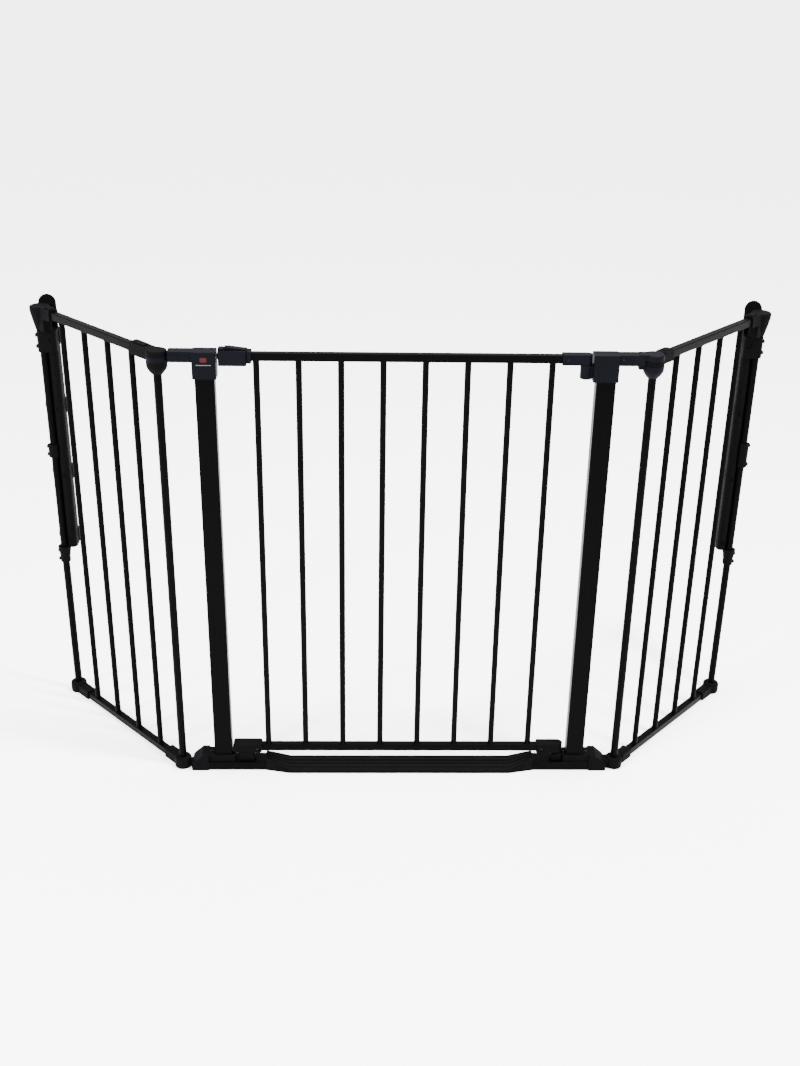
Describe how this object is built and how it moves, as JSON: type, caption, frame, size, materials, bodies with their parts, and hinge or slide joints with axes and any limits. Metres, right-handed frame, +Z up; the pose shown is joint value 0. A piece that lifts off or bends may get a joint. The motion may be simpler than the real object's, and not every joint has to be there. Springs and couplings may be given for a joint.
{
  "type": "safety gate",
  "caption": "Freestanding-width safety gate: hinged bar door over a low ribbed threshold, sliding thumb lock, two folding side panels and swivelling wall brackets.",
  "frame": {"origin": "the floor point under the middle of the door section, on the underside of the walk-over strip", "axes": "+X along the door section towards the door's hinge side, +Y towards the wall that the side panels fold back to, +Z up"},
  "size_m": [1.1958, 0.2832, 0.73],
  "materials": {
    "powder_coat": "satin powder coat",
    "black_plastic": "fine matt moulding grain",
    "zinc": "zinc plated",
    "badge_red": "satin"
  },
  "bodies": {
    "section": {"threshold_ramp": "powder_coat", "left_threshold_bar": "powder_coat", "right_threshold_bar": "powder_coat", "left_post": "powder_coat", "right_post": "powder_coat", "left_post_cover": "black_plastic", "right_post_cover": "black_plastic", "left_base_block": "black_plastic", "right_base_block": "black_plastic", "right_junction_post": "powder_coat", "bottom_catch": "black_plastic", "upper_hinge_socket": "black_plastic", "lower_hinge_lug": "black_plastic", "lower_hinge_pin": "zinc", "badge": "badge_red", "base_screws": "zinc", "cover_screw": "zinc"},
    "hinge_pin": {"upper_hinge_pin": "zinc"},
    "door": {"door_top_rail": "powder_coat", "door_bottom_rail": "powder_coat", "door_bars": "powder_coat", "upper_hinge_cap": "black_plastic", "lower_hinge_cap": "black_plastic", "bottom_corner_block": "black_plastic", "lock_housing": "black_plastic", "lock_cover": "black_plastic", "lock_collar": "black_plastic", "lock_spring": "zinc", "door_screws": "zinc"},
    "lock": {"lock_slider": "black_plastic"},
    "left_panel": {"left_top_rail": "powder_coat", "left_bottom_rail": "powder_coat", "left_bars": "powder_coat", "left_corner_cap": "black_plastic", "left_junction_post": "powder_coat", "left_foot": "black_plastic", "left_wall_cap": "black_plastic", "left_wall_post": "powder_coat", "left_wall_foot": "black_plastic"},
    "right_panel": {"right_top_rail": "powder_coat", "right_bottom_rail": "powder_coat", "right_bars": "powder_coat", "right_top_knuckle": "black_plastic", "right_foot_knuckle": "black_plastic", "right_wall_cap": "black_plastic", "right_wall_post": "powder_coat", "right_wall_foot": "black_plastic"},
    "left_bracket": {"left_wall_plate": "black_plastic", "left_wall_channel": "black_plastic", "left_wall_clamps": "black_plastic", "left_wall_collar": "black_plastic"},
    "right_bracket": {"right_wall_plate": "black_plastic", "right_wall_channel": "black_plastic", "right_wall_clamps": "black_plastic", "right_wall_collar": "black_plastic"}
  },
  "joints": [
    {"name": "door_lift", "type": "slide", "parent": "section", "child": "hinge_pin", "axis": [0, 0, 1], "range_m": [0, 0.01]},
    {"name": "door_swing", "type": "hinge", "parent": "hinge_pin", "child": "door", "pos_m": [0.262, 0, 0.7], "axis": [0, 0, 1], "range_deg": [-90, 90]},
    {"name": "lock_slide", "type": "slide", "parent": "door", "child": "lock", "axis": [1, 0, 0], "range_m": [0, 0.01], "stiffness_N_per_m": 400, "springref_m": -0.01, "deforming": ["lock_spring"]},
    {"name": "left_panel_fold", "type": "hinge", "parent": "section", "child": "left_panel", "pos_m": [-0.36, 0, 0.35], "axis": [0, 0, 1], "range_deg": [-43, 47]},
    {"name": "right_panel_fold", "type": "hinge", "parent": "section", "child": "right_panel", "pos_m": [0.36, 0, 0.35], "axis": [0, 0, 1], "range_deg": [-47, 43]},
    {"name": "left_bracket_swivel", "type": "hinge", "parent": "left_panel", "child": "left_bracket", "pos_m": [-0.58165, 0.23769, 0.47], "axis": [0, 0, 1], "range_deg": [-45, 45]},
    {"name": "right_bracket_swivel", "type": "hinge", "parent": "right_panel", "child": "right_bracket", "pos_m": [0.58165, 0.23769, 0.47], "axis": [0, 0, 1], "range_deg": [-45, 45]}
  ]
}
